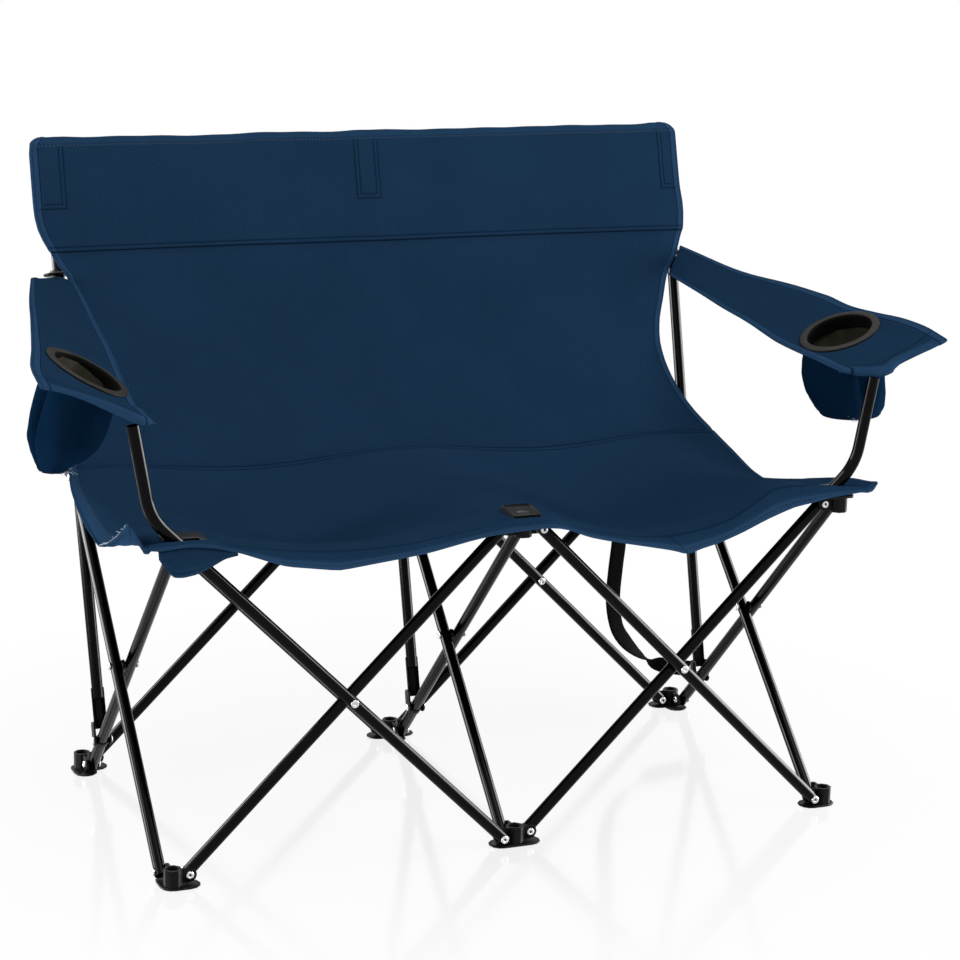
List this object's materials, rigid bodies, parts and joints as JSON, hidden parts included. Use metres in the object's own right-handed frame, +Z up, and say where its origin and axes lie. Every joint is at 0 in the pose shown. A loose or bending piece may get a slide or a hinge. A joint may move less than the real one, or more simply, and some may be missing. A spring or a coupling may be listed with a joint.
{
  "type": "folding camping loveseat",
  "caption": "Folding camping loveseat with crossed steel tube legs, a hung cloth seat and back, and cloth armrests with cup holders; the frame draws together into a slim bundle.",
  "frame": {"origin": "on the floor under the middle of the whole object", "axes": "+Z up, +X to the right of someone looking at the front, the seat faces -Y"},
  "size_m": [1.2592, 0.6596, 0.891],
  "materials": {
    "steel_tube": "gloss black powder coat",
    "black_plastic": "moulded black",
    "ring_plastic": "moulded dark grey",
    "rivet_steel": "bright steel",
    "cloth": "navy woven polyester",
    "webbing": "black webbing"
  },
  "bodies": {
    "foot_front_centre": {"foot_front_centre": "black_plastic"},
    "tube_front_b": {"tube_front_b": "steel_tube", "rivet_front_left": "rivet_steel"},
    "tube_front_a": {"tube_front_a": "steel_tube"},
    "foot_front_left": {"foot_front_left": "black_plastic"},
    "hub_front_left": {"hub_front_left": "black_plastic", "clamp_plate_left": "black_plastic"},
    "hub_front_centre": {"hub_front_centre": "black_plastic", "clamp_plate_centre": "black_plastic", "seat_edge": "cloth"},
    "tube_front_c": {"tube_front_c": "steel_tube", "rivet_front_right": "rivet_steel"},
    "tube_front_d": {"tube_front_d": "steel_tube"},
    "foot_front_right": {"foot_front_right": "black_plastic"},
    "hub_front_right": {"hub_front_right": "black_plastic", "clamp_plate_right": "black_plastic"},
    "tube_side_back_left": {"tube_side_back_left": "steel_tube", "rivet_side_left": "rivet_steel"},
    "tube_side_fore_left": {"tube_side_fore_left": "steel_tube"},
    "foot_rear_left": {"foot_rear_left": "black_plastic"},
    "hub_rear_left": {"hub_rear_left": "black_plastic"},
    "rear_post_left": {"rear_post_left": "steel_tube", "post_shoe_left": "black_plastic", "post_collar_left": "black_plastic"},
    "tube_side_back_centre": {"tube_side_back_centre": "steel_tube", "rivet_side_centre": "rivet_steel"},
    "tube_side_fore_centre": {"tube_side_fore_centre": "steel_tube"},
    "foot_rear_centre": {"foot_rear_centre": "black_plastic"},
    "hub_rear_centre": {"hub_rear_centre": "black_plastic"},
    "rear_post_centre": {"rear_post_centre": "steel_tube", "post_shoe_centre": "black_plastic", "back_panel": "cloth"},
    "tube_side_back_right": {"tube_side_back_right": "steel_tube", "rivet_side_right": "rivet_steel"},
    "tube_side_fore_right": {"tube_side_fore_right": "steel_tube"},
    "foot_rear_right": {"foot_rear_right": "black_plastic"},
    "hub_rear_right": {"hub_rear_right": "black_plastic"},
    "rear_post_right": {"rear_post_right": "steel_tube", "post_shoe_right": "black_plastic", "post_collar_right": "black_plastic", "carry_strap": "webbing"},
    "tube_rear_b": {"tube_rear_b": "steel_tube", "rivet_rear_left": "rivet_steel"},
    "tube_rear_a": {"tube_rear_a": "steel_tube"},
    "tube_rear_c": {"tube_rear_c": "steel_tube", "rivet_rear_right": "rivet_steel"},
    "tube_rear_d": {"tube_rear_d": "steel_tube"},
    "seat_front": {"seat_front": "cloth"},
    "seat_rear": {"seat_rear": "cloth"},
    "armrest_front_left": {"armrest_front_left": "cloth", "cup_ring_left": "ring_plastic", "cup_pocket_left": "cloth"},
    "armrest_rear_left": {"armrest_rear_left": "cloth"},
    "armrest_front_right": {"armrest_front_right": "cloth", "cup_ring_right": "ring_plastic", "cup_pocket_right": "cloth"},
    "armrest_rear_right": {"armrest_rear_right": "cloth"}
  },
  "joints": [
    {"name": "fold", "type": "hinge", "parent": "foot_front_centre", "child": "tube_front_b", "pos_m": [-0.022, -0.31381, 0.014], "axis": [0, 1, 0], "range_deg": [0, 36], "deforming": ["back_panel", "seat_edge", "seat_front", "seat_rear", "armrest_front_right", "armrest_front_left", "armrest_rear_right", "armrest_rear_left", "cup_pocket_right", "cup_pocket_left", "carry_strap"]},
    {"name": "front_cross_left_hinge", "type": "hinge", "parent": "tube_front_b", "child": "tube_front_a", "pos_m": [-0.235, -0.30381, 0.224], "axis": [0, 1, 0], "range_deg": [-72.01, 0]},
    {"name": "front_foot_left_hinge", "type": "hinge", "parent": "tube_front_a", "child": "foot_front_left", "pos_m": [-0.448, -0.29381, 0.014], "axis": [0, 1, 0], "range_deg": [0, 36.01]},
    {"name": "front_hub_left_hinge", "type": "hinge", "parent": "tube_front_b", "child": "hub_front_left", "pos_m": [-0.448, -0.31381, 0.434], "axis": [0, 1, 0], "range_deg": [-36.01, 0]},
    {"name": "front_hub_centre_hinge", "type": "hinge", "parent": "tube_front_a", "child": "hub_front_centre", "pos_m": [-0.022, -0.29381, 0.434], "axis": [0, 1, 0], "range_deg": [0, 36.01]},
    {"name": "front_tube_right_hinge", "type": "hinge", "parent": "foot_front_centre", "child": "tube_front_c", "pos_m": [0.022, -0.29381, 0.014], "axis": [0, 1, 0], "range_deg": [-36.01, 0]},
    {"name": "front_cross_right_hinge", "type": "hinge", "parent": "tube_front_c", "child": "tube_front_d", "pos_m": [0.235, -0.30381, 0.224], "axis": [0, 1, 0], "range_deg": [0, 72.01]},
    {"name": "front_foot_right_hinge", "type": "hinge", "parent": "tube_front_d", "child": "foot_front_right", "pos_m": [0.448, -0.31381, 0.014], "axis": [0, 1, 0], "range_deg": [-36.01, 0]},
    {"name": "front_hub_right_hinge", "type": "hinge", "parent": "tube_front_c", "child": "hub_front_right", "pos_m": [0.448, -0.29381, 0.434], "axis": [0, 1, 0], "range_deg": [0, 36.01]},
    {"name": "side_tube_left_hinge", "type": "hinge", "parent": "foot_front_left", "child": "tube_side_back_left", "pos_m": [-0.48, -0.28031, 0.014], "axis": [1, 0, 0], "range_deg": [0, 36.01]},
    {"name": "side_cross_left_hinge", "type": "hinge", "parent": "tube_side_back_left", "child": "tube_side_fore_left", "pos_m": [-0.47, -0.06731, 0.224], "axis": [1, 0, 0], "range_deg": [-72.01, 0]},
    {"name": "rear_foot_left_hinge", "type": "hinge", "parent": "tube_side_fore_left", "child": "foot_rear_left", "pos_m": [-0.46, 0.14569, 0.014], "axis": [1, 0, 0], "range_deg": [0, 36.01]},
    {"name": "rear_hub_left_hinge", "type": "hinge", "parent": "tube_side_back_left", "child": "hub_rear_left", "pos_m": [-0.48, 0.14569, 0.434], "axis": [1, 0, 0], "range_deg": [-36.01, 0]},
    {"name": "rear_post_left_hinge", "type": "hinge", "parent": "tube_side_fore_left", "child": "rear_post_left", "pos_m": [-0.46, 0.09157, 0.06736], "axis": [1, 0, 0], "range_deg": [0, 45.51]},
    {"name": "side_tube_centre_hinge", "type": "hinge", "parent": "foot_front_centre", "child": "tube_side_back_centre", "pos_m": [-0.01, -0.28031, 0.014], "axis": [1, 0, 0], "range_deg": [0, 36.01]},
    {"name": "side_cross_centre_hinge", "type": "hinge", "parent": "tube_side_back_centre", "child": "tube_side_fore_centre", "pos_m": [0, -0.06731, 0.224], "axis": [1, 0, 0], "range_deg": [-72.01, 0]},
    {"name": "rear_foot_centre_hinge", "type": "hinge", "parent": "tube_side_fore_centre", "child": "foot_rear_centre", "pos_m": [0.01, 0.14569, 0.014], "axis": [1, 0, 0], "range_deg": [0, 36.01]},
    {"name": "rear_hub_centre_hinge", "type": "hinge", "parent": "tube_side_back_centre", "child": "hub_rear_centre", "pos_m": [-0.01, 0.14569, 0.434], "axis": [1, 0, 0], "range_deg": [-36.01, 0]},
    {"name": "rear_post_centre_hinge", "type": "hinge", "parent": "tube_side_fore_centre", "child": "rear_post_centre", "pos_m": [0.01, 0.09157, 0.06736], "axis": [1, 0, 0], "range_deg": [0, 45.51]},
    {"name": "side_tube_right_hinge", "type": "hinge", "parent": "foot_front_right", "child": "tube_side_back_right", "pos_m": [0.46, -0.28031, 0.014], "axis": [1, 0, 0], "range_deg": [0, 36.01]},
    {"name": "side_cross_right_hinge", "type": "hinge", "parent": "tube_side_back_right", "child": "tube_side_fore_right", "pos_m": [0.47, -0.06731, 0.224], "axis": [1, 0, 0], "range_deg": [-72.01, 0]},
    {"name": "rear_foot_right_hinge", "type": "hinge", "parent": "tube_side_fore_right", "child": "foot_rear_right", "pos_m": [0.48, 0.14569, 0.014], "axis": [1, 0, 0], "range_deg": [0, 36.01]},
    {"name": "rear_hub_right_hinge", "type": "hinge", "parent": "tube_side_back_right", "child": "hub_rear_right", "pos_m": [0.46, 0.14569, 0.434], "axis": [1, 0, 0], "range_deg": [-36.01, 0]},
    {"name": "rear_post_right_hinge", "type": "hinge", "parent": "tube_side_fore_right", "child": "rear_post_right", "pos_m": [0.48, 0.09157, 0.06736], "axis": [1, 0, 0], "range_deg": [0, 45.51]},
    {"name": "rear_tube_left_hinge", "type": "hinge", "parent": "foot_rear_centre", "child": "tube_rear_b", "pos_m": [-0.022, 0.15919, 0.014], "axis": [0, 1, 0], "range_deg": [0, 36.01]},
    {"name": "rear_cross_left_hinge", "type": "hinge", "parent": "tube_rear_b", "child": "tube_rear_a", "pos_m": [-0.235, 0.16919, 0.224], "axis": [0, 1, 0], "range_deg": [-72.01, 0]},
    {"name": "rear_tube_right_hinge", "type": "hinge", "parent": "foot_rear_centre", "child": "tube_rear_c", "pos_m": [0.022, 0.17919, 0.014], "axis": [0, 1, 0], "range_deg": [-36.01, 0]},
    {"name": "rear_cross_right_hinge", "type": "hinge", "parent": "tube_rear_c", "child": "tube_rear_d", "pos_m": [0.235, 0.16919, 0.224], "axis": [0, 1, 0], "range_deg": [0, 72.01]},
    {"name": "seat_front_hinge", "type": "hinge", "parent": "hub_front_centre", "child": "seat_front", "pos_m": [0, -0.26878, 0.4495], "axis": [1, 0, 0], "range_deg": [-85.95, 0]},
    {"name": "seat_rear_hinge", "type": "hinge", "parent": "rear_post_centre", "child": "seat_rear", "pos_m": [0, 0.14065, 0.4478], "axis": [1, 0, 0], "range_deg": [0, 63.15]},
    {"name": "armrest_front_left_hinge", "type": "hinge", "parent": "tube_front_b", "child": "armrest_front_left", "pos_m": [-0.51989, -0.31381, 0.60175], "axis": [0.9887, 0.0815, -0.1257], "range_deg": [-82.48, 0]},
    {"name": "armrest_rear_left_hinge", "type": "hinge", "parent": "rear_post_left", "child": "armrest_rear_left", "pos_m": [-0.47099, 0.26669, 0.697], "axis": [0.8507, 0.5089, -0.1317], "range_deg": [0, 59.99]},
    {"name": "armrest_front_right_hinge", "type": "hinge", "parent": "tube_front_c", "child": "armrest_front_right", "pos_m": [0.52047, -0.29381, 0.60495], "axis": [0.9801, -0.116, 0.1613], "range_deg": [-93.7, 0]},
    {"name": "armrest_rear_right_hinge", "type": "hinge", "parent": "rear_post_right", "child": "armrest_rear_right", "pos_m": [0.49099, 0.26669, 0.697], "axis": [0.7418, -0.6682, 0.0574], "range_deg": [0, 55.4]}
  ],
  "couplings": [
    {"joint": "front_cross_left_hinge", "follows": "fold", "ratio": -2},
    {"joint": "front_foot_left_hinge", "follows": "fold", "ratio": 1},
    {"joint": "front_hub_left_hinge", "follows": "fold", "ratio": -1},
    {"joint": "front_hub_centre_hinge", "follows": "fold", "ratio": 1},
    {"joint": "front_tube_right_hinge", "follows": "fold", "ratio": -1},
    {"joint": "front_cross_right_hinge", "follows": "fold", "ratio": 2},
    {"joint": "front_foot_right_hinge", "follows": "fold", "ratio": -1},
    {"joint": "front_hub_right_hinge", "follows": "fold", "ratio": 1},
    {"joint": "side_tube_left_hinge", "follows": "fold", "ratio": 1},
    {"joint": "side_cross_left_hinge", "follows": "fold", "ratio": -2},
    {"joint": "rear_foot_left_hinge", "follows": "fold", "ratio": 1},
    {"joint": "rear_hub_left_hinge", "follows": "fold", "ratio": -1},
    {"joint": "rear_post_left_hinge", "follows": "fold", "ratio": 1.264},
    {"joint": "side_tube_centre_hinge", "follows": "fold", "ratio": 1},
    {"joint": "side_cross_centre_hinge", "follows": "fold", "ratio": -2},
    {"joint": "rear_foot_centre_hinge", "follows": "fold", "ratio": 1},
    {"joint": "rear_hub_centre_hinge", "follows": "fold", "ratio": -1},
    {"joint": "rear_post_centre_hinge", "follows": "fold", "ratio": 1.264},
    {"joint": "side_tube_right_hinge", "follows": "fold", "ratio": 1},
    {"joint": "side_cross_right_hinge", "follows": "fold", "ratio": -2},
    {"joint": "rear_foot_right_hinge", "follows": "fold", "ratio": 1},
    {"joint": "rear_hub_right_hinge", "follows": "fold", "ratio": -1},
    {"joint": "rear_post_right_hinge", "follows": "fold", "ratio": 1.264},
    {"joint": "rear_tube_left_hinge", "follows": "fold", "ratio": 1},
    {"joint": "rear_cross_left_hinge", "follows": "fold", "ratio": -2},
    {"joint": "rear_tube_right_hinge", "follows": "fold", "ratio": -1},
    {"joint": "rear_cross_right_hinge", "follows": "fold", "ratio": 2},
    {"joint": "seat_front_hinge", "follows": "fold", "ratio": -2.3872},
    {"joint": "seat_rear_hinge", "follows": "fold", "ratio": 1.754},
    {"joint": "armrest_front_left_hinge", "follows": "fold", "ratio": -2.2908},
    {"joint": "armrest_rear_left_hinge", "follows": "fold", "ratio": 1.6661},
    {"joint": "armrest_front_right_hinge", "follows": "fold", "ratio": -2.6025},
    {"joint": "armrest_rear_right_hinge", "follows": "fold", "ratio": 1.5385}
  ]
}
